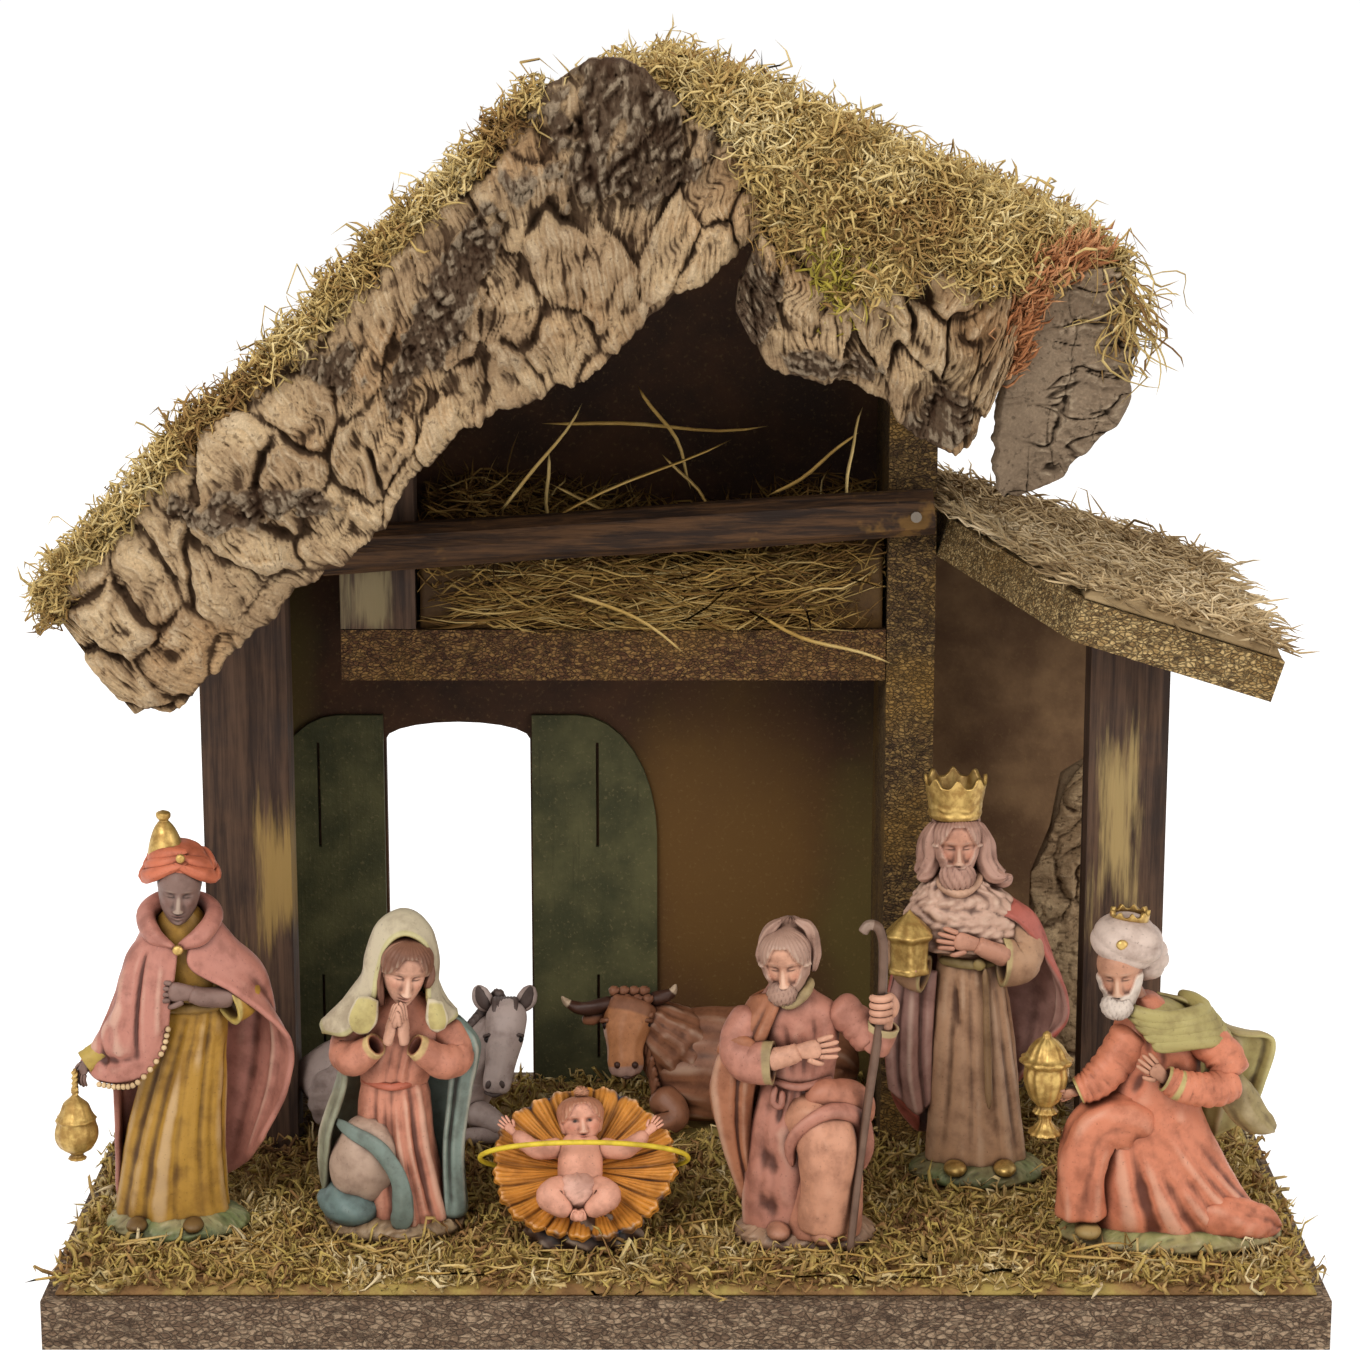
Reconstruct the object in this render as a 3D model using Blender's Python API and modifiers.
# Nativity stable with its loose figures. Metres, Z up, the front faces -Y.
# The origin is the middle of the base board's underside.
import math

import bmesh
import bpy
import numpy as np
from mathutils import Matrix, Vector

# Clearances
GAP = 0.0003  # between pieces that touch
BRAD_CLEARANCE = 0.0003  # around a brad in its hole

# Base
BASE_WIDTH = 0.300
BASE_DEPTH = 0.160
BASE_THICKNESS = 0.012
MOSS_THICKNESS = 0.0027
MOSS_MARGIN = 0.003  # bare rim of the base board

# Walls and posts
HUT_LEFT = -0.1224
HUT_DEPTH = 0.057  # from the posts' front to the back wall's back
SLAT_THICKNESS = 0.012
LEFT_POST_WIDTH = 0.022
HARDBOARD = 0.003
BACK_RIM = 0.006  # base board left bare behind the wall
PARTITION_LEFT = 0.0505
PARTITION_THICKNESS = 0.012
LEAN_POST_LEFT = 0.102
LEAN_POST_WIDTH = 0.020
LEAN_PANEL_RIGHT = 0.122

# Doorway and its leaves
DOOR_LEFT = -0.0804
DOOR_WIDTH = 0.0387
DOOR_SPRING = 0.1095
DOOR_RISE = 0.0047
LEAF_WIDTH = 0.0335
LEAF_FLAT = 0.012
LEAF_TOP = 0.1165
LEAF_SHOULDER = 0.083
LEAF_THICKNESS = 0.002
LEAF_SLOT_WIDTH = 0.0008
LEAF_SLOT_INSET = 0.0175
LEAF_UPPER_SLOT = (0.080, 0.109)
LEAF_LOWER_SLOT = (0.020, 0.044)

# Loft
LOFT_LEFT = -0.0865
SHELF_TOP = 0.1508
SHELF_THICKNESS = 0.0129
UPRIGHT_WIDTH = 0.0188
RAIL_RADIUS = 0.0062
RAIL_LEFT_END = -0.090
RAIL_LEFT_HEIGHT = 0.1722
RAIL_RIGHT_END = 0.0612
RAIL_RIGHT_HEIGHT = 0.1822
HAY_HEIGHT = 0.034
HAY_SIDE_ROOM = 0.0012
HAY_SQUARENESS = 0.55  # 1 gives round sections, less gives squarer ones

# Main roof
RIDGE_X = -0.009
RIDGE_HEIGHT = 0.288
LEFT_PITCH = math.radians(42.1)
RIGHT_PITCH = math.radians(22.2)
LEFT_SLOPE = 0.180
RIGHT_SLOPE = 0.117
ROOF_THICKNESS = 0.010
ROOF_OVERHANG = 0.067  # in front of the posts
ROOF_BACK_OVERHANG = 0.001
ROOF_MOSS = 0.008
MOSS_FORWARD = 0.001  # how far the roof moss hangs over the boards' front

# Lean-to roof
LEAN_PITCH = math.radians(17.3)
LEAN_TOP = 0.1803  # height of the roof's top plane at the partition
LEAN_RIGHT_END = 0.1395
LEAN_OVERHANG = 0.062  # in front of the posts
LEAN_THICKNESS = 0.010
LEAN_CORNER = 0.030  # how far the cut corner runs along the front
LEAN_HAY = 0.005
LEAN_HAY_RIM = 0.001
BREAK_LEFT = 0.0935  # left end of the back panel's broken corner
# steps of the break: distance right of its left end, and height above the moss
BREAK_STEPS = [(0.0, 0.060), (0.0050, 0.073), (0.0075, 0.088)]
BREAK_RUN = 0.0140

# Cork bark along the roof's front
CORK_BULGE = 0.015
CORK_RIM = 0.006
FLAKE_THICKNESS = 0.0055
FLAKE_LEAN = 0.010
ROCK_HEIGHT = 0.092
ROCK_DEPTH = 0.0085

# Brads
BRAD_RADIUS = 0.0007
BRAD_HEAD_RADIUS = 0.0014
BRAD_HEAD = 0.0007
BASE_BRAD_LENGTH = 0.026
RAIL_BRAD_LENGTH = 0.024
BRAD_STAND = 0.0006  # how far a head stays above the base's underside

# Figures: where each stands and how tall it is
CENSER_KING_PLACE = (-0.1204, -0.0400)
CENSER_KING_HEIGHT = 0.104
MOTHER_PLACE = (-0.0693, -0.0400)
MOTHER_HEIGHT = 0.080
DONKEY_PLACE = (-0.0516, 0.0230)
DONKEY_HEIGHT = 0.041
MANGER_PLACE = (-0.0234, -0.0465)
MANGER_WIDTH = 0.045
OX_PLACE = (0.0, 0.0330)
OX_HEIGHT = 0.039
FATHER_PLACE = (0.0302, -0.0465)
FATHER_HEIGHT = 0.081
CASKET_KING_PLACE = (0.0757, -0.0050)
CASKET_KING_HEIGHT = 0.105
URN_KING_PLACE = (0.1183, -0.0465)
URN_KING_HEIGHT = 0.083
STAFF_RADIUS = 0.0011
MANGER_TILT = math.radians(50.0)
MANGER_MIDDLE = (-1.0, -1.0, 17.6)  # millimetres from the manger's foot
MANGER_HALF_SIZES = (22.0, 19.0)
MANGER_SCALLOPS = 11
BAND_PLACE = 1.5  # how far up the slope the band lies
BAND_HALF_WIDTH = 25.3
BAND_FRONT = 11.4
BAND_REAR = 10.3
BAND_RADIUS = 0.0006

# Values that follow from the sizes above
FLOOR = BASE_THICKNESS + GAP
WALL_BACK = BASE_DEPTH / 2 - BACK_RIM
POST_FRONT = WALL_BACK - HUT_DEPTH
ROOF_FRONT = POST_FRONT - ROOF_OVERHANG
ROOF_BACK = WALL_BACK + ROOF_BACK_OVERHANG
LEAN_FRONT = POST_FRONT - LEAN_OVERHANG
LEAN_BACK = ROOF_BACK
FIGURE_FLOOR = FLOOR + MOSS_THICKNESS + GAP
WALL_FRONT = WALL_BACK - HARDBOARD
PARTITION_RIGHT = PARTITION_LEFT + PARTITION_THICKNESS
POST_BACK = POST_FRONT + SLAT_THICKNESS
SHELF_BOTTOM = SHELF_TOP - SHELF_THICKNESS
LEAF_FRONT = WALL_FRONT - GAP - LEAF_THICKNESS
RAIL_Y = POST_FRONT - GAP - RAIL_RADIUS

# name: colour, roughness, metallic
FINISHES = {
    "chipboard": ((0.30, 0.21, 0.12), 0.85, 0.0),
    "base_edge": ((0.25, 0.19, 0.14), 0.85, 0.0),
    "painted_slat": ((0.12, 0.07, 0.04), 0.70, 0.0),
    "painted_panel": ((0.20, 0.12, 0.06), 0.70, 0.0),
    "green_door": ((0.07, 0.08, 0.04), 0.70, 0.0),
    "cork_bark": ((0.42, 0.31, 0.21), 0.90, 0.0),
    "grey_bark": ((0.27, 0.24, 0.20), 0.90, 0.0),
    "log": ((0.20, 0.13, 0.07), 0.75, 0.0),
    "moss": ((0.36, 0.29, 0.13), 0.95, 0.0),
    "hay": ((0.48, 0.37, 0.19), 0.90, 0.0),
    "steel": ((0.45, 0.43, 0.40), 0.40, 1.0),
    "figure_pink": ((0.60, 0.30, 0.24), 0.50, 0.0),
    "figure_coral": ((0.72, 0.30, 0.20), 0.50, 0.0),
    "figure_tan": ((0.55, 0.36, 0.22), 0.50, 0.0),
    "figure_grey": ((0.25, 0.23, 0.22), 0.55, 0.0),
    "figure_brown": ((0.30, 0.16, 0.09), 0.55, 0.0),
    "figure_skin": ((0.80, 0.48, 0.36), 0.45, 0.0),
    "manger_straw": ((0.75, 0.45, 0.12), 0.55, 0.0),
    "staff_brown": ((0.22, 0.15, 0.11), 0.55, 0.0),
    "yellow_band": ((0.90, 0.68, 0.12), 0.60, 0.0),
}


# Scene and objects
def clear_scene():
    for old in list(bpy.data.objects):
        bpy.data.objects.remove(old, do_unlink=True)


def new_collection(name, helper=False):
    collection = bpy.data.collections.new(name)
    bpy.context.scene.collection.children.link(collection)
    collection.hide_render = helper
    return collection


def material(name):
    found = bpy.data.materials.get(name)
    if found:
        return found
    colour, roughness, metallic = FINISHES[name]
    made = bpy.data.materials.new(name)
    made.use_nodes = True
    shader = made.node_tree.nodes["Principled BSDF"]
    shader.inputs["Base Color"].default_value = (*colour, 1.0)
    shader.inputs["Roughness"].default_value = roughness
    shader.inputs["Metallic"].default_value = metallic
    made.diffuse_color = (*colour, 1.0)
    return made


def put(name, data, collection, finish=None):
    placed = bpy.data.objects.new(name, data)
    collection.objects.link(placed)
    if finish:
        data.materials.append(material(finish))
    return placed


def as_helper(shape):
    shape.hide_render = True
    shape.display_type = "WIRE"
    return shape


def mesh_from(bm, name):
    bmesh.ops.recalc_face_normals(bm, faces=bm.faces)
    mesh = bpy.data.meshes.new(name)
    bm.to_mesh(mesh)
    bm.free()
    return mesh


def evaluated_mesh(temporary, turn_out=True):
    """The closed mesh of a curve or of an object with modifiers, in world space; the object is removed."""
    bpy.context.view_layer.update()
    graph = bpy.context.evaluated_depsgraph_get()
    mesh = bpy.data.meshes.new_from_object(temporary.evaluated_get(graph))
    mesh.transform(temporary.matrix_world)
    bpy.data.objects.remove(temporary, do_unlink=True)
    bm = bmesh.new()
    bm.from_mesh(mesh)
    bmesh.ops.remove_doubles(bm, verts=bm.verts, dist=1e-6)
    if turn_out:
        bmesh.ops.recalc_face_normals(bm, faces=bm.faces)
    bm.to_mesh(mesh)
    bm.free()
    mesh.materials.clear()
    return mesh


def signed_volume(faces):
    """Six times the volume inside a closed surface, below zero where its faces point inwards."""
    total = 0.0
    for face in faces:
        first, *others = [vert.co for vert in face.verts]
        for second, third in zip(others, others[1:]):
            total += first.dot(second.cross(third))
    return total


def fill_voids(mesh):
    """Removes each sealed inner surface, so that the body is solid there."""
    bm = bmesh.new()
    bm.from_mesh(mesh)
    unseen = set(bm.faces)
    inner = []
    while unseen:
        island = [unseen.pop()]
        for face in island:
            near = {other for edge in face.edges for other in edge.link_faces} & unseen
            unseen -= near
            island.extend(near)
        if signed_volume(island) < 0.0:
            inner.extend(island)
    bmesh.ops.delete(bm, geom=inner, context="FACES")
    bm.to_mesh(mesh)
    bm.free()


def boolean(target, operation, cutter, crossing=False):
    """Cuts or joins; crossing allows for surfaces that cross themselves, as at a bent limb."""
    modifier = target.modifiers.new(cutter.name, "BOOLEAN")
    modifier.operation = operation
    modifier.solver = "EXACT"
    modifier.use_self = crossing
    modifier.object = cutter


# Basic shapes
def box_mesh(low, high):
    low = Vector(low)
    high = Vector(high)
    size = high - low
    bm = bmesh.new()
    move = Matrix.Translation((low + high) / 2) @ Matrix.Diagonal((*size, 1.0))
    bmesh.ops.create_cube(bm, size=1.0, matrix=move)
    return mesh_from(bm, "box")


def outline_curve(points, thickness):
    """A flat outline in the curve's own XY plane, with half its thickness on each side."""
    data = bpy.data.curves.new("outline", "CURVE")
    data.dimensions = "2D"
    data.fill_mode = "BOTH"
    data.extrude = thickness / 2
    spline = data.splines.new("POLY")
    spline.points.add(len(points) - 1)
    for point, (x, y) in zip(spline.points, points):
        point.co = (x, y, 0.0, 1.0)
    spline.use_cyclic_u = True
    return data


def upright_plate(name, points, front, back, collection, finish):
    """An outline of (x, z) points that stands between two Y values."""
    plate = put(name, outline_curve(points, back - front), collection)
    plate.rotation_euler = (math.pi / 2, 0.0, 0.0)
    plate.location = (0.0, (front + back) / 2, 0.0)
    return put(name, evaluated_mesh(plate), collection, finish)


def rod_mesh(points, radii, sides=2, closed=False):
    """A round rod through points, with a radius at each."""
    data = bpy.data.curves.new("rod", "CURVE")
    data.dimensions = "3D"
    data.bevel_depth = 1.0
    data.bevel_resolution = sides
    data.use_fill_caps = not closed
    spline = data.splines.new("POLY")
    spline.points.add(len(points) - 1)
    for point, place, radius in zip(spline.points, points, radii):
        point.co = (*place, 1.0)
        point.radius = radius
    spline.use_cyclic_u = closed
    rod = bpy.data.objects.new("rod", data)
    bpy.context.scene.collection.objects.link(rod)
    return evaluated_mesh(rod)


def loft_mesh(rings):
    """A closed body through rings of the same number of points, with a fan at each end."""
    bm = bmesh.new()
    grid = [[bm.verts.new(point) for point in ring] for ring in rings]
    count = len(grid[0])
    for lower, upper in zip(grid, grid[1:]):
        for i in range(count):
            j = (i + 1) % count
            bm.faces.new((lower[i], lower[j], upper[j], upper[i]))
    for ring in (grid[0], grid[-1]):
        middle = bm.verts.new(sum((vert.co for vert in ring), Vector()) / count)
        for i in range(count):
            bm.faces.new((ring[i], ring[(i + 1) % count], middle))
    return mesh_from(bm, "loft")


def turned_mesh(profile, foot, steps=10):
    """A profile of (radius, height) points, top to bottom, turned round an upright axis at foot."""
    mesh = bpy.data.meshes.new("profile")
    ends = [(0.0, profile[0][1]), *profile, (0.0, profile[-1][1])]
    points = [(radius, 0.0, height) for radius, height in ends]
    mesh.from_pydata(points, [(i, i + 1) for i in range(len(points) - 1)], [])
    shape = bpy.data.objects.new("turned", mesh)
    bpy.context.scene.collection.objects.link(shape)
    shape.location = foot
    screw = shape.modifiers.new("turn", "SCREW")
    screw.steps = steps
    screw.render_steps = steps
    screw.use_merge_vertices = True
    screw.merge_threshold = 1e-5
    return evaluated_mesh(shape)


# Roof lines that the walls and posts are cut to
def roof_top(x):
    if x < RIDGE_X:
        return RIDGE_HEIGHT - math.tan(LEFT_PITCH) * (RIDGE_X - x)
    return RIDGE_HEIGHT - math.tan(RIGHT_PITCH) * (x - RIDGE_X)


def roof_under(x):
    pitch = LEFT_PITCH if x < RIDGE_X else RIGHT_PITCH
    return roof_top(x) - (ROOF_THICKNESS + GAP) / math.cos(pitch)


def lean_under(x):
    top = LEAN_TOP - math.tan(LEAN_PITCH) * (x - PARTITION_RIGHT)
    return top - (LEAN_THICKNESS + GAP) / math.cos(LEAN_PITCH)


def upright_outline(left, width, foot, top):
    """A post's front: its foot is level and its top follows the roof's underside."""
    right = left + width
    return [(left, foot), (right, foot), (right, top(right)), (left, top(left))]


def arc_points(middle, half_sizes, start, end, count):
    x, z = middle
    half_x, half_z = half_sizes
    angles = np.linspace(start, end, count)
    return [(x + half_x * math.cos(angle), z + half_z * math.sin(angle)) for angle in angles]


# Base board and its moss
def make_base(parts):
    half = BASE_WIDTH / 2
    low = (-half, -BASE_DEPTH / 2, 0.0)
    high = (half, BASE_DEPTH / 2, BASE_THICKNESS)
    board = put("base_board", box_mesh(low, high), parts, "base_edge")
    right = half - MOSS_MARGIN
    front = -BASE_DEPTH / 2 + MOSS_MARGIN
    room_front = POST_FRONT - GAP
    room_back = LEAF_FRONT - GAP
    hut_left = HUT_LEFT + LEFT_POST_WIDTH + GAP
    hut_right = PARTITION_LEFT - GAP
    hut_outer = HUT_LEFT - GAP
    lean_left = PARTITION_RIGHT + GAP
    lean_right = LEAN_POST_LEFT - GAP
    lean_outer = max(LEAN_PANEL_RIGHT, LEAN_POST_LEFT + LEAN_POST_WIDTH) + GAP
    lean_back = WALL_FRONT - ROCK_DEPTH - GAP
    outline = [
        (-right, front),
        (right, front),
        (right, -front),
        (lean_outer, -front),
        (lean_outer, room_front),
        (lean_right, room_front),
        (lean_right, lean_back),
        (lean_left, lean_back),
        (lean_left, room_front),
        (hut_right, room_front),
        (hut_right, room_back),
        (hut_left, room_back),
        (hut_left, room_front),
        (hut_outer, room_front),
        (hut_outer, -front),
        (-right, -front),
    ]
    mat = put("mat", outline_curve(outline, MOSS_THICKNESS), parts)
    mat.location = (0.0, 0.0, FLOOR + MOSS_THICKNESS / 2)
    put("base_moss", evaluated_mesh(mat), parts, "moss")
    return board


def make_brad(name, head, direction, length, parts, cutters, holed):
    """A brad whose head's top is at head, with a clearance hole in each piece that it holds."""
    profile = [
        (BRAD_HEAD_RADIUS, 0.0),
        (BRAD_HEAD_RADIUS, -BRAD_HEAD),
        (BRAD_RADIUS, -BRAD_HEAD),
        (BRAD_RADIUS, -length + 2 * BRAD_RADIUS),
        (BRAD_RADIUS / 3, -length),
    ]
    hole = [
        (BRAD_HEAD_RADIUS + BRAD_CLEARANCE, 0.004),
        (BRAD_HEAD_RADIUS + BRAD_CLEARANCE, -BRAD_HEAD - BRAD_CLEARANCE),
        (BRAD_RADIUS + BRAD_CLEARANCE, -BRAD_HEAD - BRAD_CLEARANCE),
        (BRAD_RADIUS + BRAD_CLEARANCE, -length - BRAD_CLEARANCE),
    ]
    turn = Vector(direction).to_track_quat("-Z", "Y").to_matrix().to_4x4()
    move = Matrix.Translation(head) @ turn
    mesh = turned_mesh(profile, (0.0, 0.0, 0.0), 10)
    mesh.transform(move)
    put(name, mesh, parts, "steel")
    hole_mesh = turned_mesh(hole, (0.0, 0.0, 0.0), 10)
    hole_mesh.transform(move)
    cutter = as_helper(put(name + "_hole", hole_mesh, cutters))
    for piece in holed:
        boolean(piece, "DIFFERENCE", cutter)


# Walls, posts and doors
def make_hut(parts, cutters):
    post_outline = upright_outline(HUT_LEFT, LEFT_POST_WIDTH, FLOOR, roof_under)
    post = upright_plate("left_front_post", post_outline, POST_FRONT, POST_BACK, parts, "painted_slat")
    wall_end = WALL_FRONT - GAP
    side_outline = upright_outline(HUT_LEFT, HARDBOARD, FLOOR, roof_under)
    upright_plate("left_side_wall", side_outline, POST_BACK + GAP, wall_end, parts, "painted_panel")
    partition_outline = upright_outline(PARTITION_LEFT, PARTITION_THICKNESS, FLOOR, roof_under)
    partition = upright_plate("partition_wall", partition_outline, POST_FRONT, wall_end, parts, "chipboard")
    door_right = DOOR_LEFT + DOOR_WIDTH
    arch_middle = ((DOOR_LEFT + door_right) / 2, DOOR_SPRING)
    arch = arc_points(arch_middle, (DOOR_WIDTH / 2, DOOR_RISE), math.pi, 0.0, 11)
    wall_right = PARTITION_RIGHT
    outline = [
        (HUT_LEFT, FLOOR),
        (DOOR_LEFT, FLOOR),
        *arch,
        (door_right, FLOOR),
        (wall_right, FLOOR),
        (wall_right, roof_under(wall_right)),
        (RIDGE_X, min(roof_under(RIDGE_X), roof_under(RIDGE_X - 1e-6))),
        (HUT_LEFT, roof_under(HUT_LEFT)),
    ]
    upright_plate("back_wall", outline, WALL_FRONT, WALL_BACK, parts, "painted_panel")
    make_leaf("door_leaf_left", DOOR_LEFT, -1, parts, cutters)
    make_leaf("door_leaf_right", door_right, 1, parts, cutters)
    return post, partition


def make_leaf(name, jamb, side, parts, cutters):
    """A leaf from the doorway's jamb outwards, flat on top and then rounded down to its outer edge."""
    start = jamb + side * 2 * GAP
    outer = start + side * LEAF_WIDTH
    arc_middle = (start + side * LEAF_FLAT, LEAF_SHOULDER)
    arc_size = (side * (LEAF_WIDTH - LEAF_FLAT), LEAF_TOP - LEAF_SHOULDER)
    arc = arc_points(arc_middle, arc_size, math.pi / 2, 0.0, 9)
    outline = [(start, FLOOR), (start, LEAF_TOP), *arc, (outer, FLOOR)]
    leaf = upright_plate(name, outline, LEAF_FRONT, WALL_FRONT - GAP, parts, "green_door")
    slot_x = start + side * LEAF_SLOT_INSET
    for number, (low, high) in enumerate((LEAF_LOWER_SLOT, LEAF_UPPER_SLOT)):
        slot = box_mesh(
            (slot_x - LEAF_SLOT_WIDTH / 2, LEAF_FRONT - 0.001, low),
            (slot_x + LEAF_SLOT_WIDTH / 2, WALL_FRONT, high),
        )
        boolean(leaf, "DIFFERENCE", as_helper(put(f"{name}_slot_{number}", slot, cutters)))


def make_loft(parts):
    shelf_right = PARTITION_LEFT - GAP
    shelf = box_mesh((LOFT_LEFT, POST_FRONT, SHELF_BOTTOM), (shelf_right, WALL_FRONT - GAP, SHELF_TOP))
    put("loft_shelf", shelf, parts, "chipboard")
    outline = upright_outline(LOFT_LEFT, UPRIGHT_WIDTH, SHELF_TOP + GAP, roof_under)
    upright_plate("loft_upright", outline, POST_FRONT, POST_BACK, parts, "painted_slat")
    steps = np.linspace(0.0, 1.0, 7)
    points = [
        (
            RAIL_LEFT_END + t * (RAIL_RIGHT_END - RAIL_LEFT_END),
            RAIL_Y,
            RAIL_LEFT_HEIGHT + t * (RAIL_RIGHT_HEIGHT - RAIL_LEFT_HEIGHT),
        )
        for t in steps
    ]
    radii = [RAIL_RADIUS * (0.96 + 0.04 * math.cos(9.0 * t)) for t in steps]
    rail = put("loft_rail", rod_mesh(points, radii, 3), parts, "log")
    make_loft_hay(parts)
    return rail


def make_loft_hay(parts):
    """A heap with rounded sections that follow one another along the shelf."""
    left = LOFT_LEFT + UPRIGHT_WIDTH + HAY_SIDE_ROOM
    right = PARTITION_LEFT - HAY_SIDE_ROOM
    front = POST_FRONT + HAY_SIDE_ROOM
    back = WALL_FRONT - HAY_SIDE_ROOM
    rings = []
    for t in np.linspace(0.0, 1.0, 9):
        x = left + t * (right - left)
        height = HAY_HEIGHT * (0.80 + 0.16 * math.sin(7.0 * t + 0.6) + 0.04 * math.sin(19.0 * t))
        ring = []
        for angle in np.linspace(math.pi, 0.0, 9):
            across = math.copysign(abs(math.cos(angle)) ** HAY_SQUARENESS, math.cos(angle))
            up = abs(math.sin(angle)) ** HAY_SQUARENESS
            y = (front + back) / 2 + (back - front) / 2 * across
            ring.append((x, y, SHELF_TOP + GAP + height * up))
        rings.append(ring)
    put("loft_hay", loft_mesh(rings), parts, "hay")


# Lean-to
def lean_plane(outline, thickness, raise_by, name, parts, finish):
    """A plate on the lean-to roof's plane; outline points are (distance right of the partition, Y)."""
    plate = put(name, outline_curve([(x / math.cos(LEAN_PITCH), y) for x, y in outline], thickness), parts)
    plate.rotation_euler = (0.0, LEAN_PITCH, 0.0)
    normal = Vector((math.sin(LEAN_PITCH), 0.0, math.cos(LEAN_PITCH)))
    plate.location = Vector((PARTITION_RIGHT, 0.0, LEAN_TOP)) + normal * (raise_by - thickness / 2)
    return put(name, evaluated_mesh(plate), parts, finish)


def make_lean_to(parts):
    post_outline = upright_outline(LEAN_POST_LEFT, LEAN_POST_WIDTH, FLOOR, lean_under)
    post = upright_plate("lean_to_post", post_outline, POST_FRONT, POST_BACK, parts, "painted_slat")
    start = LEAN_THICKNESS * math.sin(LEAN_PITCH) + GAP
    end = LEAN_RIGHT_END - PARTITION_RIGHT
    corner = [(start, POST_FRONT), (LEAN_CORNER, LEAN_FRONT)]
    board = [*corner, (end, LEAN_FRONT), (end, LEAN_BACK), (start, LEAN_BACK)]
    lean_plane(board, LEAN_THICKNESS, 0.0, "lean_to_roof_board", parts, "chipboard")
    rim = LEAN_HAY_RIM
    hay = [
        (start, POST_FRONT + rim),
        (LEAN_CORNER + rim, LEAN_FRONT + rim),
        (end - rim, LEAN_FRONT + rim),
        (end - rim, LEAN_BACK - rim),
        (start, LEAN_BACK - rim),
    ]
    lean_plane(hay, LEAN_HAY, LEAN_HAY + GAP, "lean_to_hay", parts, "hay")
    left = PARTITION_RIGHT + GAP
    rock_top = FLOOR + ROCK_HEIGHT
    outline = [
        (left, FLOOR),
        (BREAK_LEFT, FLOOR),
        *[(BREAK_LEFT + x, FLOOR + z) for x, z in BREAK_STEPS],
        (BREAK_LEFT + BREAK_RUN, rock_top + GAP),
        (LEAN_PANEL_RIGHT, rock_top + GAP),
        (LEAN_PANEL_RIGHT, lean_under(LEAN_PANEL_RIGHT)),
        (left, lean_under(left)),
    ]
    upright_plate("lean_to_back_panel", outline, WALL_FRONT, WALL_BACK, parts, "painted_panel")
    make_rock(BREAK_LEFT + GAP, rock_top, parts)
    return post


def make_rock(left, top, parts):
    """A lumpy cork slab that closes the broken corner of the lean-to's back panel."""
    # share of the height, and how far the left edge stands in
    levels = [(0.0, 0.0), (0.20, 0.0), (0.42, 0.0), (0.655, 0.0003)]
    levels += [(0.79, 0.0052), (0.94, 0.0078), (1.0, 0.0145)]
    rings = []
    for number, (share, inset) in enumerate(levels):
        z = FLOOR + share * (top - FLOOR)
        x_low = left + inset
        x_high = LEAN_PANEL_RIGHT - 0.001 * (number % 2)
        proud = ROCK_DEPTH * (0.80 - 0.35 * share + 0.16 * math.sin(2.6 * number))
        front = WALL_FRONT - proud
        middle = (x_low + x_high) / 2
        quarter = (x_high - x_low) / 4
        rings.append(
            [
                (x_low, WALL_BACK, z),
                (middle, WALL_BACK, z),
                (x_high, WALL_BACK, z),
                (x_high, WALL_FRONT - 0.4 * proud, z),
                (middle + quarter, front, z),
                (middle, front + 0.2 * proud, z),
                (middle - quarter, front, z),
                (x_low, WALL_FRONT - 0.4 * proud, z),
            ]
        )
    put("cork_rock", loft_mesh(rings), parts, "cork_bark")


# Main roof
def slope_point(side, along, above):
    """A point of a roof slope: its distance down from the ridge, and its height square to the slope."""
    pitch = LEFT_PITCH if side < 0 else RIGHT_PITCH
    x = RIDGE_X + side * (along * math.cos(pitch) + above * math.sin(pitch))
    return x, RIDGE_HEIGHT - along * math.sin(pitch) + above * math.cos(pitch)


def slope_outline(side, length, low, high):
    """The end of a layer on a slope, cut upright at the ridge; a layer of moss thins out at the eave."""
    pitch = LEFT_PITCH if side < 0 else RIGHT_PITCH
    ridge = RIDGE_X + side * GAP / 2
    trim_high = (high - low) * 0.5 if low > 0 else 0.0
    return [
        (ridge, RIDGE_HEIGHT + high / math.cos(pitch) - math.tan(pitch) * GAP / 2),
        slope_point(side, length - trim_high, high),
        slope_point(side, length, low),
        (ridge, RIDGE_HEIGHT + low / math.cos(pitch) - math.tan(pitch) * GAP / 2),
    ]


def make_roof(parts):
    for name, side, length in (("left", -1, LEFT_SLOPE), ("right", 1, RIGHT_SLOPE)):
        upright_plate(
            "roof_board_" + name,
            slope_outline(side, length, -ROOF_THICKNESS, 0.0),
            ROOF_FRONT,
            ROOF_BACK,
            parts,
            "chipboard",
        )
        upright_plate(
            "roof_moss_" + name,
            slope_outline(side, length, GAP, ROOF_MOSS),
            ROOF_FRONT - MOSS_FORWARD,
            ROOF_BACK - MOSS_FORWARD,
            parts,
            "moss",
        )


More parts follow.
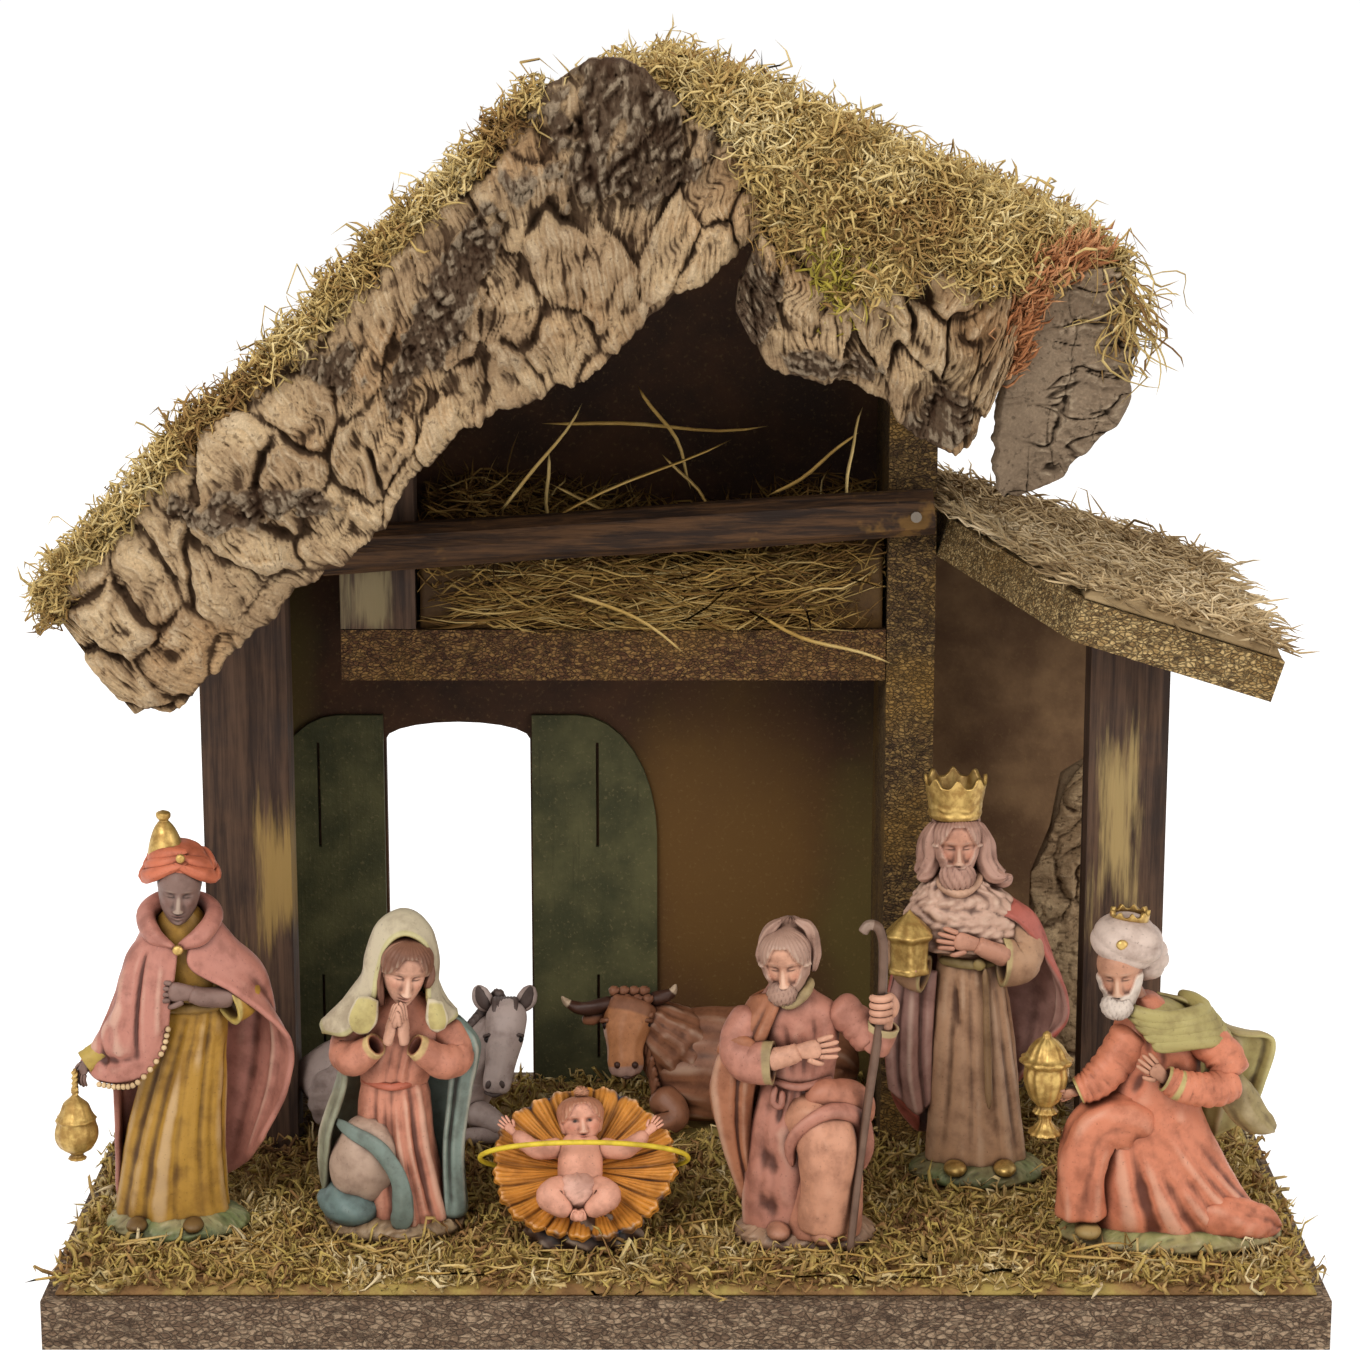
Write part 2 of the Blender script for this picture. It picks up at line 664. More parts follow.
def slab_rings(stations, back, rim, bulge, ribs, between=3):
    """Rounded sections from a lower edge to an upper edge, flat behind and swelling in front."""
    given = np.array(stations, float) + np.array([0.0, RIDGE_HEIGHT, 0.0, RIDGE_HEIGHT])
    places = np.linspace(0.0, len(given) - 1, (len(given) - 1) * between + 1)
    edges = np.array([np.interp(places, range(len(given)), column) for column in given.T]).T
    rings = []
    for number, (x_low, z_low, x_high, z_high) in enumerate(edges):
        ripple = 1.0 + ribs * math.sin(2.1 * number)
        end = math.sin(math.pi * (number + 0.6) / (len(edges) + 0.2)) ** 0.35
        ring = []
        for share in np.linspace(0.0, 1.0, 6):
            proud = rim + bulge * ripple * end * math.sin(math.pi * share) ** 0.7
            lobes = 1.0 + 0.16 * math.sin(9.0 * share + 1.3 * number)
            x = x_low + share * (x_high - x_low)
            z = z_low + share * (z_high - z_low)
            ring.append((x, back - proud * lobes, z))
        for share in (1.0, 0.5, 0.0):
            ring.append((x_low + share * (x_high - x_low), back, z_low + share * (z_high - z_low)))
        rings.append(ring)
    return rings


def make_cork(parts):
    back = ROOF_FRONT - MOSS_FORWARD - GAP
    # lower edge x, z and upper edge x, z from the eave up, with z counted from the ridge
    left_stations = [
        (-0.1270, -0.1415, -0.1440, -0.1180),
        (-0.1175, -0.1410, -0.1424, -0.1110),
        (-0.1060, -0.1305, -0.1300, -0.0975),
        (-0.0940, -0.1180, -0.1170, -0.0820),
        (-0.0820, -0.1080, -0.1060, -0.0715),
        (-0.0716, -0.1011, -0.0900, -0.0580),
        (-0.0640, -0.0895, -0.0790, -0.0475),
        (-0.0554, -0.0794, -0.0680, -0.0360),
        (-0.0440, -0.0720, -0.0560, -0.0250),
        (-0.0300, -0.0665, -0.0440, -0.0135),
        (-0.0190, -0.0610, -0.0310, 0.0000),
        (-0.0090, -0.0515, -0.0150, 0.0070),
        (0.0031, -0.0422, -0.0010, -0.0030),
        (0.0110, -0.0360, 0.0080, -0.0090),
        (0.0164, -0.0320, 0.0174, -0.0190),
    ]
    left = slab_rings(left_stations, back, CORK_RIM, CORK_BULGE - CORK_RIM, 0.22)
    put("cork_fascia_left", loft_mesh(left), parts, "cork_bark")
    right_stations = [
        (0.0110, -0.0485, 0.0118, -0.0415),
        (0.0190, -0.0600, 0.0205, -0.0270),
        (0.0290, -0.0640, 0.0290, -0.0260),
        (0.0390, -0.0661, 0.0380, -0.0290),
        (0.0470, -0.0715, 0.0490, -0.0345),
        (0.0550, -0.0774, 0.0590, -0.0400),
        (0.0630, -0.0790, 0.0650, -0.0440),
        (0.0675, -0.0755, 0.0690, -0.0490),
    ]
    right = slab_rings(right_stations, back, CORK_RIM, CORK_BULGE - 1.4 * CORK_RIM, 0.3)
    put("cork_fascia_right", loft_mesh(right), parts, "cork_bark")
    make_flake(back, parts)


def make_flake(back, parts):
    """A curved flake of bark, glued to the roof's front at its top and leaning back towards its tip."""
    # left x, right x and height from the tip up, with the height counted from the ridge
    stations = [
        (0.0722, 0.0760, -0.0920),
        (0.0710, 0.0850, -0.0875),
        (0.0705, 0.0915, -0.0810),
        (0.0712, 0.0990, -0.0730),
        (0.0735, 0.1010, -0.0655),
        (0.0765, 0.1018, -0.0560),
        (0.0805, 0.1008, -0.0470),
        (0.0870, 0.0975, -0.0390),
    ]
    rings = []
    tip = stations[0][2]
    top = stations[-1][2]
    for left, right, height in stations:
        share = (height - tip) / (top - tip)
        z = RIDGE_HEIGHT + height
        lean = FLAKE_LEAN * (1.0 - share) ** 1.5
        front = []
        rear = []
        for t in np.linspace(0.0, 1.0, 5):
            x = left + t * (right - left)
            curl = 0.004 * (2.0 * t - 1.0) ** 2
            y = back + lean - curl * (1.0 - share)
            front.append((x, y - FLAKE_THICKNESS * (0.6 + 0.4 * math.sin(math.pi * t)), z))
            rear.append((x, y, z))
        rings.append(front + rear[::-1])
    put("bark_end_flake", loft_mesh(rings), parts, "grey_bark")


# Figures
class Moulding:
    """One figure, laid out in millimetres from the middle of its foot and then brought to its height."""

    def __init__(self, name, place, scale, shapes):
        self.name = name
        self.move = Matrix.Translation((*place, FIGURE_FLOOR)) @ Matrix.Diagonal((scale, scale, scale, 1.0))
        self.shapes = shapes
        self.made = []

    def add(self, mesh):
        mesh.transform(self.move)
        name = f"{self.name}_shape_{len(self.made)}"
        self.made.append(as_helper(put(name, mesh, self.shapes)))

    def ball(self, middle, half_sizes, tilt=0.0):
        bm = bmesh.new()
        turn = Matrix.Rotation(math.radians(tilt), 4, "Y")
        move = Matrix.Translation(middle) @ turn @ Matrix.Diagonal((*half_sizes, 1.0))
        bmesh.ops.create_uvsphere(bm, u_segments=9, v_segments=6, radius=1.0, matrix=move)
        self.add(mesh_from(bm, "ball"))

    def limb(self, points, radii):
        self.add(rod_mesh(points, radii, 2))

    def turned(self, foot, profile):
        self.add(turned_mesh(profile, foot))

    def robe(self, levels, folds=0, depth=0.0, floor=0.6, count=20):
        """Oval sections (height, x, y, half width, half depth), with folds that fade upwards."""
        angles = np.linspace(0.0, 2.0 * math.pi, count, endpoint=False)
        top = levels[-1][0]
        rings = []
        for z, x, y, half_x, half_y in levels:
            wave = depth * max(0.0, 1.0 - z / (0.7 * top)) * np.cos(folds * angles + 0.04 * z)
            xs = x + (half_x + wave) * np.cos(angles)
            ys = y + (half_y + wave) * np.sin(angles)
            rings.append([(a, b, max(z, floor)) for a, b in zip(xs, ys)])
        self.add(loft_mesh(rings))

    def body(self, stations, floor=0.6, count=12):
        """Oval sections (x, y, height, half depth, half height) along X, cut flat at the floor."""
        angles = np.linspace(0.0, 2.0 * math.pi, count, endpoint=False)
        rings = []
        for x, y, z, half_y, half_z in stations:
            ring = [(x, y + half_y * math.cos(a), max(z + half_z * math.sin(a), floor)) for a in angles]
            rings.append(ring)
        self.add(loft_mesh(rings))

    def finish(self, parts, finish):
        """All shapes as one solid casting, with no void left where they enclose one."""
        joined = put(self.name, self.made[0].data.copy(), self.shapes)
        for shape in self.made[1:]:
            boolean(joined, "UNION", shape, crossing=True)
        mesh = evaluated_mesh(joined, turn_out=False)
        fill_voids(mesh)
        return put(self.name, mesh, parts, finish)


def make_censer_king(parts, shapes):
    king = Moulding("king_with_censer", CENSER_KING_PLACE, CENSER_KING_HEIGHT / 104.0, shapes)
    king.robe([(0, -3, 0, 17, 12.5), (2.5, -3, 0, 16.5, 12), (5.5, -3, 0, 12, 9)], floor=0.0, count=16)
    king.robe(
        [
            (2.0, -4, 0, 13.2, 8.8),
            (10, -4, 0, 12.6, 8.6),
            (24, -3, 0, 11.4, 8.2),
            (42, 0, 0, 9.6, 7.2),
            (57, 3, -0.4, 8.0, 6.4),
            (70, 1, 0.4, 9.6, 6.2),
            (76, 0.4, 0.6, 7.4, 5.4),
            (80, 0.4, 0.2, 4.2, 4.2),
        ],
        folds=9,
        depth=1.2,
    )
    king.robe(
        [
            (5.0, -7, 5.4, 10.5, 5.0),
            (20, -1.5, 6.4, 17.0, 7.0),
            (32, 1.0, 6.6, 20.0, 7.6),
            (45, 2.6, 6.2, 22.0, 7.8),
            (58, 0.6, 5.0, 18.4, 7.6),
            (70, 0.6, 3.4, 13.6, 7.0),
            (77, 0.6, 1.8, 8.4, 6.2),
            (80, 0.6, 1.4, 5.4, 5.0),
        ],
        folds=7,
        depth=1.6,
    )
    king.limb([(-10, 1, 70), (-18.5, -2, 56), (-22, -5.5, 46), (-24, -7.4, 42.6)], [5.0, 5.4, 4.2, 2.4])
    king.ball((-13.5, -6.0, 46.5), (10.0, 3.6, 5.0), 14)
    king.ball((-24.2, -8.2, 41.8), (2.6, 2.4, 2.8))
    king.limb([(-25, -9, 42), (-25, -9, 35.5)], [1.1, 1.1])
    lid = [(1.0, 37), (2.6, 34), (3.8, 31)]
    bowl = [(3.0, 30), (4.7, 27.5), (4.4, 24), (2.2, 21.6), (2.4, 20)]
    king.turned((-25, -9, 0), lid + bowl)
    king.limb([(10, 1, 70), (14.5, -1, 60), (8, -6.4, 59.5), (1, -8.2, 62.5)], [4.8, 4.6, 3.6, 2.2])
    king.ball((13.6, -2.8, 55), (3.8, 3.6, 6.6))
    king.ball((-0.6, -8.6, 63.4), (3.8, 2.0, 2.6), -20)
    king.ball((0.3, -0.8, 78), (8.2, 7.4, 3.6))
    king.ball((0.1, -1.2, 86), (5.2, 5.8, 7.2))
    king.ball((0.1, -4.6, 80.6), (3.6, 2.8, 3.4))
    king.ball((-0.7, -0.4, 91.4), (7.7, 7.7, 4.6), 6)
    king.turned((-3.0, -0.4, 0), [(0.6, 104), (1.7, 102.6), (1.2, 101), (2.5, 98.5), (4.0, 92)])
    king.finish(parts, "figure_pink")


def make_mother(parts, shapes):
    mother = Moulding("kneeling_mother", MOTHER_PLACE, MOTHER_HEIGHT / 80.0, shapes)
    mother.robe([(0, -1.5, 0, 17, 12), (2.5, -1.5, 0, 16.5, 11.6), (5, -1.5, 0, 13, 9)], floor=0.0, count=16)
    mother.robe(
        [
            (2.2, -3.5, 0.5, 14.4, 9.8),
            (10, -3.8, 1.0, 13.6, 9.8),
            (22, -3.6, 1.4, 11.8, 9.2),
            (32, -2.2, 1.0, 9.6, 7.6),
            (38, -1.2, 0.4, 8.6, 6.2),
            (46, 0.8, 0.4, 11.6, 6.4),
            (51.5, 1.4, 0.6, 12.4, 6.0),
            (56, 1.8, 0.2, 7.4, 5.0),
            (59, 2.2, -0.4, 4.0, 4.0),
        ],
        folds=8,
        depth=1.1,
    )
    mother.ball((-7.6, -3.4, 18), (9.0, 8.4, 10.5), -12)
    mother.ball((-8.5, -1.5, 7.5), (10.5, 9.6, 5.6), 6)
    mother.ball((1.4, 2.4, 66.5), (9.6, 7.4, 12.6), 4)
    mother.ball((1.4, 1.6, 55), (12.6, 6.6, 6.6))
    mother.ball((2.9, -3.4, 65.6), (4.9, 5.4, 6.8), 6)
    mother.limb([(-10.5, 0, 51), (-12.6, -3, 44.6), (-7, -8, 46.5), (-0.6, -10.2, 52)], [4.4, 4.6, 4.0, 2.0])
    mother.limb([(12.5, 0, 51), (15.2, -3, 43.8), (8.5, -8, 46), (1.4, -10.2, 52)], [4.4, 4.6, 4.0, 2.0])
    mother.ball((0.4, -10.4, 56), (2.2, 1.8, 5.6))
    mother.limb([(14, 2, 47), (13.6, 3, 32), (9.5, 3, 18), (7.0, 2, 6)], [5.0, 5.2, 5.6, 5.6])
    mother.finish(parts, "figure_coral")


def make_donkey(parts, shapes):
    donkey = Moulding("donkey", DONKEY_PLACE, DONKEY_HEIGHT / 41.0, shapes)
    donkey.body(
        [
            (-47.6, 1, 11, 3.5, 4.5),
            (-45, 1, 12, 7.0, 9.0),
            (-39, 1, 12, 9.4, 12.4),
            (-30, 1, 12, 10.0, 12.6),
            (-16, 1, 12, 9.8, 12.4),
            (-6, 1, 12.5, 9.0, 12.4),
            (0, 0.5, 13, 6.5, 9.6),
            (3, 0, 13, 3.0, 5.0),
        ],
        floor=0.0,
        count=16,
    )
    donkey.limb([(-6, 0, 17), (1, -1.5, 25), (5, -3, 31.5)], [8.0, 6.6, 5.0])
    head = [(5.2, -2.4, 34.2), (5.4, -6.0, 28.5), (4.0, -9.4, 20), (2.8, -10.6, 15.6)]
    donkey.limb(head, [3.6, 5.0, 3.9, 3.4])
    donkey.limb([(2.2, -1.6, 34), (0.2, -1.4, 38), (-1.0, -1.2, 41)], [1.7, 2.2, 0.7])
    donkey.limb([(8.0, -1.6, 33), (10.2, -1.4, 36.5), (11.4, -1.2, 39)], [1.7, 2.2, 0.7])
    donkey.ball((-38.4, -5.6, 10.6), (8.2, 5.6, 9.8), -8)
    donkey.limb([(-41, -8.4, 4.4), (-29, -10.6, 3.4), (-21, -10.6, 3.0)], [3.4, 2.8, 2.2])
    donkey.limb([(-4, -7.4, 8), (4.0, -11.0, 5.4), (-8, -12.2, 3.0)], [4.2, 3.0, 2.2])
    donkey.finish(parts, "figure_grey")


def make_ox(parts, shapes):
    ox = Moulding("ox", OX_PLACE, OX_HEIGHT / 39.0, shapes)
    ox.body(
        [
            (-10, 0, 13, 4.5, 7.5),
            (-6, 0, 14.5, 8.5, 12.6),
            (4, 0, 15.2, 10.5, 15.2),
            (16, 0, 15.0, 11.0, 15.0),
            (30, 0, 14.8, 10.8, 14.8),
            (40, 0, 14.0, 9.0, 13.4),
            (46, 0, 13.0, 5.0, 8.0),
        ],
        floor=0.0,
        count=16,
    )
    ox.limb([(0, -0.5, 19), (-7, -2, 25.5), (-12.5, -4, 30)], [11.0, 8.8, 7.0])
    head = [(-13.5, -4.4, 33.6), (-15.4, -7.4, 29.5), (-15.6, -11.0, 22.5), (-15.2, -12.6, 18)]
    ox.limb(head, [5.0, 6.8, 4.6, 4.2])
    left_horn = [(-18.5, -5.6, 34.2), (-24, -6.2, 32.6), (-29, -6.2, 33), (-32, -6.2, 34.6)]
    ox.limb(left_horn, [1.9, 2.0, 1.5, 0.6])
    right_horn = [(-9.5, -3.6, 34.0), (-6.0, -3.4, 34.6), (-3.4, -3.2, 36.4), (-2.6, -3.2, 38.6)]
    ox.limb(right_horn, [1.9, 1.9, 1.4, 0.6])
    ox.limb([(-8.8, -4.0, 30), (-4.6, -5.6, 28.0)], [1.6, 2.2])
    ox.limb([(-8, -7.4, 9), (-2, -12.0, 5.0), (-11, -14.4, 3.0)], [5.0, 3.6, 2.4])
    ox.ball((33, -6.4, 10.6), (9.6, 5.8, 10.0))
    ox.limb([(34, -9.0, 4.4), (24, -12.0, 3.4), (15, -12.4, 3.0)], [3.8, 3.2, 2.6])
    ox.finish(parts, "figure_brown")


def staff_path():
    """The crook's points in the father's own millimetres, from its foot to its hook."""
    straight = [(8.6, -15.4, 1.2), (11.0, -11.6, 22), (13.6, -8.4, 42), (15.8, -6.0, 58.7)]
    straight.append((16.2, -5.6, 72))
    hook = [(15.9, -5.6, 76.2), (14.6, -5.6, 78.9), (12.6, -5.6, 79.2), (11.2, -5.6, 77.4)]
    return straight + hook


def make_father(parts, shapes, cutters):
    scale = FATHER_HEIGHT / 81.0
    father = Moulding("kneeling_father", FATHER_PLACE, scale, shapes)
    father.robe([(0, -1.5, 0, 17, 12), (2.5, -1.5, 0, 16.5, 11.6), (5, -1.5, 0, 13, 9)], floor=0.0, count=16)
    father.robe(
        [
            (2.2, -3.5, 0.5, 11.6, 8.6),
            (14, -4.2, 0.5, 11.2, 8.4),
            (28, -4.4, 0.4, 10.2, 7.8),
            (40, -3.4, 0.2, 8.4, 6.4),
            (50, -3.6, 0.2, 9.8, 6.4),
            (57, -4.2, 0.4, 11.0, 6.2),
            (61, -5.4, 0.4, 6.6, 5.0),
            (64, -6.2, 0.0, 4.0, 4.0),
        ],
        folds=8,
        depth=1.1,
    )
    raised_leg = [(-4.5, 1.0, 30.5), (2.4, -7.6, 28.6), (3.4, -8.4, 18), (2.6, -7.8, 6)]
    father.limb(raised_leg, [6.6, 6.0, 5.8, 5.8])
    father.limb([(-13, 1.4, 56), (-18, 1.2, 46), (-20, 2.0, 32), (-16.5, 3.4, 12)], [4.8, 6.0, 6.2, 5.4])
    cloak = [(8, -9, 5.0, 8, 6.2), (22, -10, 5.2, 9, 6.8), (36, -9.5, 5, 8.6, 6.6), (56, -7.4, 3, 6.4, 4.6)]
    father.robe(cloak, count=14)
    father.ball((-6.8, -1.4, 68.6), (4.9, 5.6, 6.9))
    father.ball((-6.2, 1.0, 72.0), (7.4, 6.8, 8.8), 8)
    father.ball((-6.7, -4.4, 62.4), (3.8, 3.2, 4.8))
    father.limb([(-13, 0, 56), (-17, -3, 47.6), (-10, -7.2, 46.5), (-4.5, -8.6, 49)], [4.6, 4.8, 4.2, 2.6])
    father.ball((-1.2, -8.8, 50.2), (4.2, 1.9, 2.6), -14)
    father.limb([(5, 0, 57), (14.2, -3.0, 49.6)], [5.2, 4.3])
    father.ball((14.2, -3.0, 49.2), (4.5, 4.3, 4.6))
    father.limb([(14.4, -3.4, 48.6), (16.4, -5.7, 57.0)], [3.9, 2.6])
    father.ball((16.4, -5.8, 58.4), (3.0, 3.2, 3.4))
    figure = father.finish(parts, "figure_pink")
    points = [father.move @ Vector(point) for point in staff_path()]
    # the staff thickens a little from its foot to its hook
    radii = np.linspace(0.85 * STAFF_RADIUS, 1.2 * STAFF_RADIUS, len(points))
    put("crook_staff", rod_mesh(points, radii, 2), parts, "staff_brown")
    channel = rod_mesh(points, [radius + GAP for radius in radii], 2)
    boolean(figure, "DIFFERENCE", as_helper(put("crook_staff_channel", channel, cutters)))


def make_casket_king(parts, shapes):
    king = Moulding("king_with_casket", CASKET_KING_PLACE, CASKET_KING_HEIGHT / 105.0, shapes)
    king.robe([(0, -2, 0, 17, 12), (2.5, -2, 0, 16.5, 11.6), (5, -2, 0, 13, 9)], floor=0.0, count=16)
    king.robe(
        [
            (2.2, -2.5, 0, 12.6, 8.6),
            (20, -3.0, 0, 11.6, 8.0),
            (40, -4.0, 0, 10.0, 7.4),
            (57, -4.8, 0, 8.6, 6.4),
            (66, -6.0, 0.2, 11.0, 6.8),
            (71, -6.8, 0.4, 12.4, 6.6),
            (76, -8.0, 0.2, 8.0, 5.4),
            (80, -8.7, 0.0, 4.4, 4.4),
        ],
        folds=9,
        depth=1.0,
    )
    king.robe(
        [
            (8, -8.0, 4.4, 10.0, 5.2),
            (18, -8.4, 5.2, 15.5, 6.2),
            (34, -6.4, 5.6, 19.0, 6.8),
            (50, -5.0, 5.0, 19.6, 6.8),
            (64, -5.6, 3.6, 16.0, 6.6),
            (72, -6.6, 2.2, 12.4, 6.2),
        ],
        folds=7,
        depth=1.2,
    )
    king.robe(
        [
            (61, -6.0, 0.2, 14.6, 8.4),
            (67, -6.2, 0.2, 15.4, 8.8),
            (73, -7.0, 0.2, 12.0, 8.0),
            (78, -8.2, 0.0, 6.6, 6.2),
            (80, -8.5, 0.0, 5.0, 5.0),
        ],
        count=16,
    )
    king.limb([(6, 1, 68), (14.5, 3, 54), (18, 3, 43), (13, 3, 36)], [4.2, 5.2, 4.4, 3.0])
    king.limb([(-17, 1, 67), (-20.5, -2, 57), (-20.2, -7.5, 56)], [5.0, 5.0, 2.8])
    king.turned((-20.2, -8.6, 0), [(0.8, 71), (4.6, 67.4), (5.6, 66), (5.0, 65), (5.2, 57.5), (4.2, 56)])
    king.limb([(4, 0, 67), (6.5, -3.5, 57.5), (0, -8.0, 60.5), (-5, -9.4, 64)], [5.0, 4.8, 3.8, 2.4])
    king.ball((3.6, -4.6, 55), (4.6, 4.0, 5.4))
    king.ball((-8.8, -9.8, 65.6), (4.4, 1.9, 2.6), 16)
    king.ball((-8.8, -1.2, 87.6), (5.2, 5.8, 7.2))
    king.ball((-8.5, 1.8, 85.6), (8.0, 6.4, 9.4))
    king.ball((-7.6, 2.2, 78.0), (10.4, 5.8, 5.0))
    king.ball((-8.7, -4.8, 81.4), (4.6, 3.2, 5.2))
    king.turned((-9.3, 0.0, 0), [(7.9, 105), (7.5, 101), (6.8, 97), (7.0, 93.6)])
    king.finish(parts, "figure_tan")


def make_urn_king(parts, shapes):
    king = Moulding("king_with_urn", URN_KING_PLACE, URN_KING_HEIGHT / 83.0, shapes)
    plinth = [(0, -1.5, 0, 26.5, 14.0), (2.2, -1.5, 0, 26, 13.6), (4.4, -1.5, 0, 22, 11)]
    king.robe(plinth, floor=0.0, count=20)
    king.robe(
        [
            (2.0, -2.0, 0, 22.5, 11.4),
            (8, -4.4, 0, 19.6, 11.0),
            (18, -6.0, 0, 17.6, 10.6),
            (28, -7.0, 0, 15.4, 9.6),
            (36, -7.0, 0, 12.0, 8.4),
            (45, -6.2, 0, 11.4, 7.8),
            (52, -6.6, 0, 10.6, 7.2),
            (57, -8.6, 0, 7.0, 6.0),
            (61, -10.4, -0.6, 4.4, 4.4),
        ],
        folds=7,
        depth=1.3,
    )
    king.limb([(-8, -2.5, 27), (-20, -4, 28.5), (-23.5, -4.4, 18), (-23.5, -4.4, 6)], [8.8, 7.0, 6.0, 5.6])
    king.limb([(8, -1, 15), (16, -1, 8.6), (23, -1.4, 4.6)], [9.6, 6.6, 3.0])
    king.ball((-6.2, -1.2, 57.4), (10.6, 8.8, 5.6), 14)
    king.ball((-15.6, -3.6, 67.8), (5.2, 5.7, 7.0))
    king.ball((-17.0, -6.4, 61.8), (4.4, 3.6, 5.0))
    king.ball((-14.0, -1.6, 75.6), (8.4, 8.2, 5.8), 10)
    king.turned((-13.6, -1.6, 0), [(4.2, 83), (3.9, 78)])
    king.body(
        [
            (0, 3.4, 52, 3.0, 5.5),
            (8, 5.0, 46, 2.4, 9.0),
            (16, 6.0, 39.5, 2.0, 10.5),
            (22.5, 6.6, 38.5, 1.4, 8.5),
        ]
    )
    king.limb([(2, -3, 52.5), (10.6, -6.4, 43), (2, -10.6, 41.5), (-9.0, -10.6, 46.4)], [5.4, 5.4, 4.4, 2.4])
    king.ball((-10.0, -10.6, 47.2), (4.0, 1.9, 2.8), 18)
    king.limb([(-12, -2, 52), (-19, -4, 43), (-26.5, -4.6, 38.6)], [5.2, 4.8, 2.6])
    king.ball((-28.2, -4.8, 38.4), (2.6, 2.8, 2.8))
    urn = [(0.8, 53), (3.2, 50), (4.6, 47.4), (6.1, 46), (5.5, 44), (4.6, 37.5), (2.0, 35.2), (2.8, 33)]
    king.turned((-32.8, -4.8, 0), [*urn, (1.8, 30.6), (3.8, 28.6), (3.8, 27.3)])
    king.finish(parts, "figure_coral")


# Manger and infant, laid out on the manger's tilted plane
def manger_point(u, v, w):
    """From right, up the slope and out of the straw to the manger's own millimetres."""
    x, y, z = MANGER_MIDDLE
    return (
        x + u,
        y + v * math.cos(MANGER_TILT) - w * math.sin(MANGER_TILT),
        z + v * math.sin(MANGER_TILT) + w * math.cos(MANGER_TILT),
    )


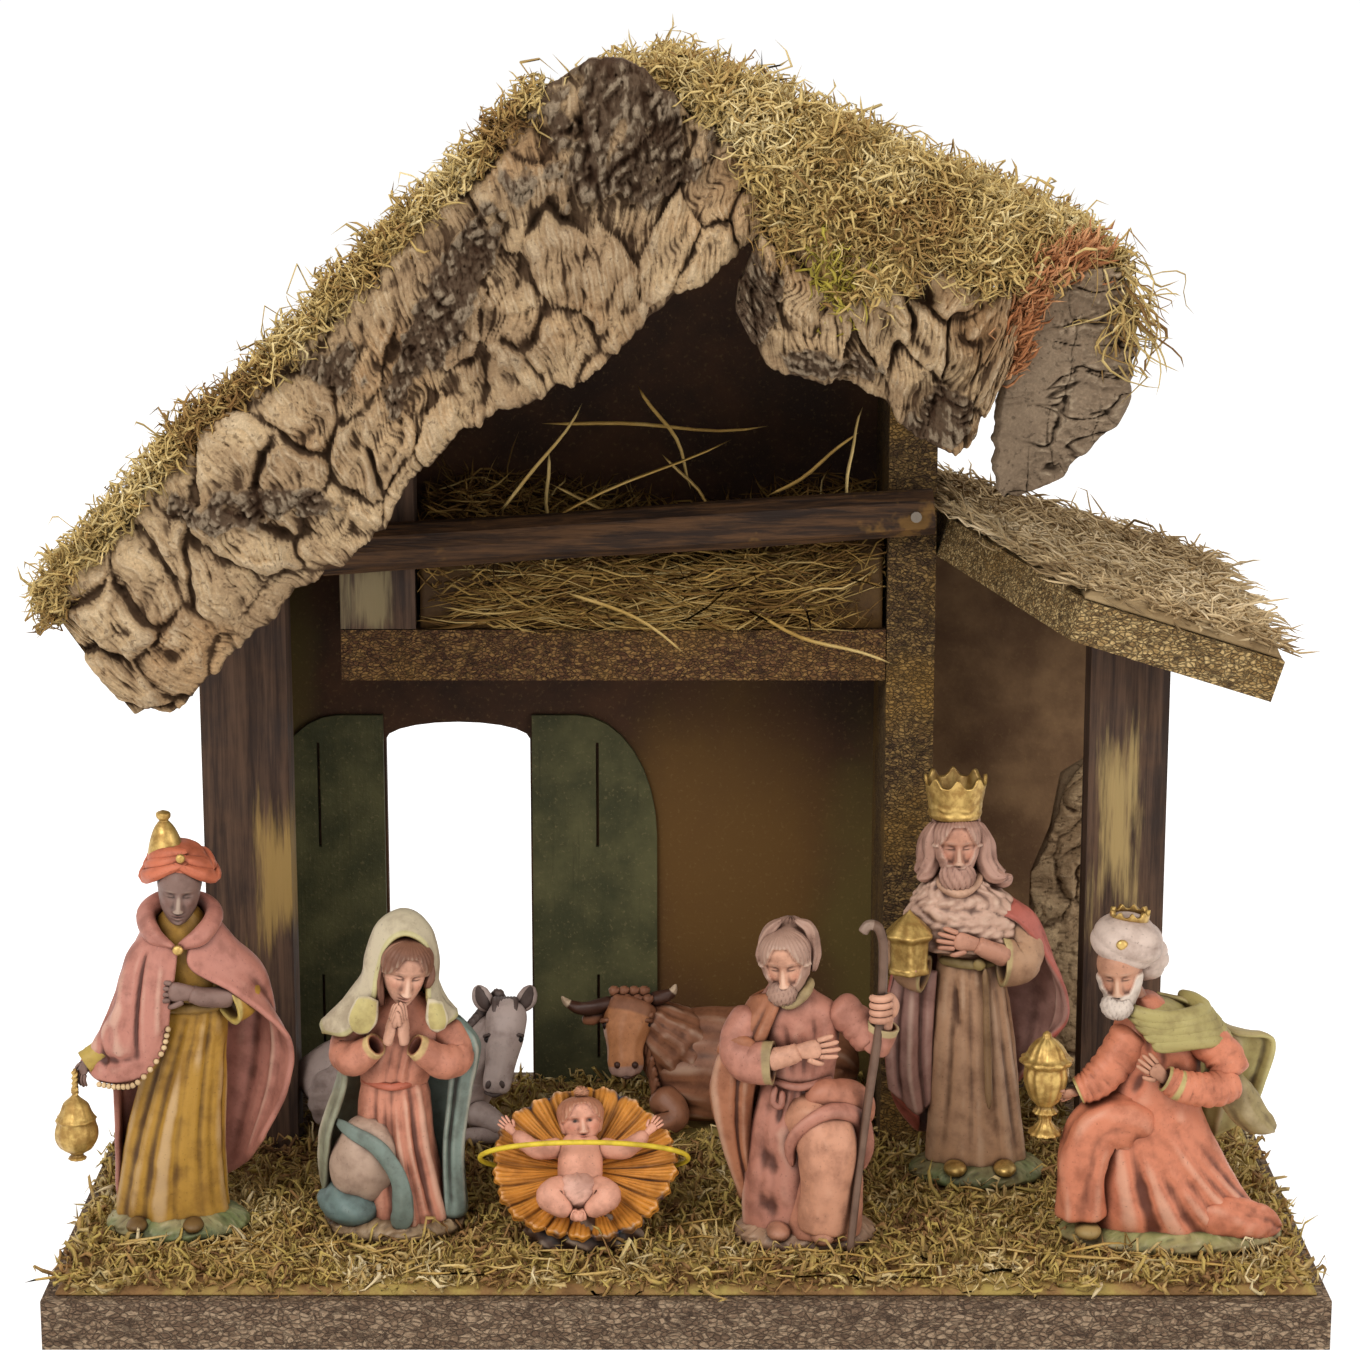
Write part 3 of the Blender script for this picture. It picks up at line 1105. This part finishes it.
def make_manger(parts, shapes):
    scale = MANGER_WIDTH / 45.0
    manger = Moulding("manger", MANGER_PLACE, scale, shapes)
    foot = [(0, -1, -4.5, 13.5, 8.6), (4, -1, -4.5, 14.0, 9.0), (8, -1, -3.5, 10.0, 6.5)]
    manger.robe(foot, floor=0.0, count=16)
    angles = np.linspace(0.0, 2.0 * math.pi, 4 * MANGER_SCALLOPS, endpoint=False)
    # share of the rim's radius, height and scallop depth, from the underside over the rim to the bed
    underside = [(0.30, -7.0, 0.0), (0.66, -4.4, 0.03), (1.0, 1.0, 0.07)]
    bed = [(1.02, 2.6, 0.07), (0.62, -0.6, 0.02), (0.30, -1.6, 0.0)]
    half_u, half_v = MANGER_HALF_SIZES
    rings = []
    for share, w, scallop in underside + bed:
        radius = share * (1.0 + scallop * np.cos(MANGER_SCALLOPS * angles))
        us = half_u * radius * np.cos(angles)
        vs = half_v * radius * np.sin(angles)
        rings.append([manger_point(u, v, w) for u, v in zip(us, vs)])
    manger.add(loft_mesh(rings))
    manger.finish(parts, "manger_straw")

    infant = Moulding("infant", MANGER_PLACE, scale, shapes)
    spine = [manger_point(-0.8, v, w) for v, w in ((6.0, 5.0), (-1.0, 4.6), (-9.5, 5.4))]
    infant.limb(spine, [3.8, 4.8, 4.4])
    infant.ball(manger_point(-0.8, 9.6, 5.2), (5.2, 5.4, 6.0))
    infant.ball(manger_point(-1.0, -9.5, 5.6), (7.0, 3.8, 4.2))
    for side in (-1, 1):
        shoulder = manger_point(-0.8 + side * 3.5, 2.0, 4.6)
        elbow = manger_point(-0.8 + side * 11, 2.6, 4.4)
        hand = manger_point(-0.8 + side * 18.5, 6.6, 6.2)
        infant.limb([shoulder, elbow, hand], [2.6, 2.1, 1.7])
        foot = manger_point(-1.0 + side * 4.4, -15.0, 4.4)
        knee = manger_point(-1.0 + side * 4.6, -9.0, 7.0)
        infant.limb([knee, foot], [3.2, 2.0])
    infant.finish(parts, "figure_skin")

    band = []
    for angle in np.linspace(0.0, 2.0 * math.pi, 36, endpoint=False):
        reach = BAND_FRONT if math.sin(angle) > 0.0 else BAND_REAR
        point = manger_point(BAND_HALF_WIDTH * math.cos(angle), BAND_PLACE, reach * math.sin(angle) + 1.6)
        band.append(manger.move @ Vector(point))
    put("manger_band", rod_mesh(band, [BAND_RADIUS] * len(band), 1, closed=True), parts, "yellow_band")


def build():
    clear_scene()
    parts = new_collection("nativity_stable")
    cutters = new_collection("cutters", helper=True)
    shapes = new_collection("figure_shapes", helper=True)
    board = make_base(parts)
    left_post, partition = make_hut(parts, cutters)
    rail = make_loft(parts)
    lean_post = make_lean_to(parts)
    make_roof(parts)
    make_cork(parts)

    slat_middle = (POST_FRONT + POST_BACK) / 2
    partition_middle = (PARTITION_LEFT + PARTITION_RIGHT) / 2
    wall_span = WALL_FRONT - POST_FRONT
    places = [
        (HUT_LEFT + LEFT_POST_WIDTH / 2, slat_middle, left_post),
        (partition_middle, POST_FRONT + 0.25 * wall_span, partition),
        (partition_middle, POST_FRONT + 0.75 * wall_span, partition),
        (LEAN_POST_LEFT + LEAN_POST_WIDTH / 2, slat_middle, lean_post),
    ]
    for number, (x, y, piece) in enumerate(places, 1):
        head = Vector((x, y, BRAD_STAND))
        make_brad(f"base_brad_{number}", head, (0, 0, 1), BASE_BRAD_LENGTH, parts, cutters, [board, piece])
    share = (partition_middle - RAIL_LEFT_END) / (RAIL_RIGHT_END - RAIL_LEFT_END)
    rail_height = RAIL_LEFT_HEIGHT + share * (RAIL_RIGHT_HEIGHT - RAIL_LEFT_HEIGHT)
    head = Vector((partition_middle, RAIL_Y - RAIL_RADIUS - BRAD_HEAD, rail_height))
    make_brad("rail_brad", head, (0, 1, 0), RAIL_BRAD_LENGTH, parts, cutters, [rail, partition])

    make_censer_king(parts, shapes)
    make_mother(parts, shapes)
    make_donkey(parts, shapes)
    make_manger(parts, shapes)
    make_ox(parts, shapes)
    make_father(parts, shapes, cutters)
    make_casket_king(parts, shapes)
    make_urn_king(parts, shapes)


build()
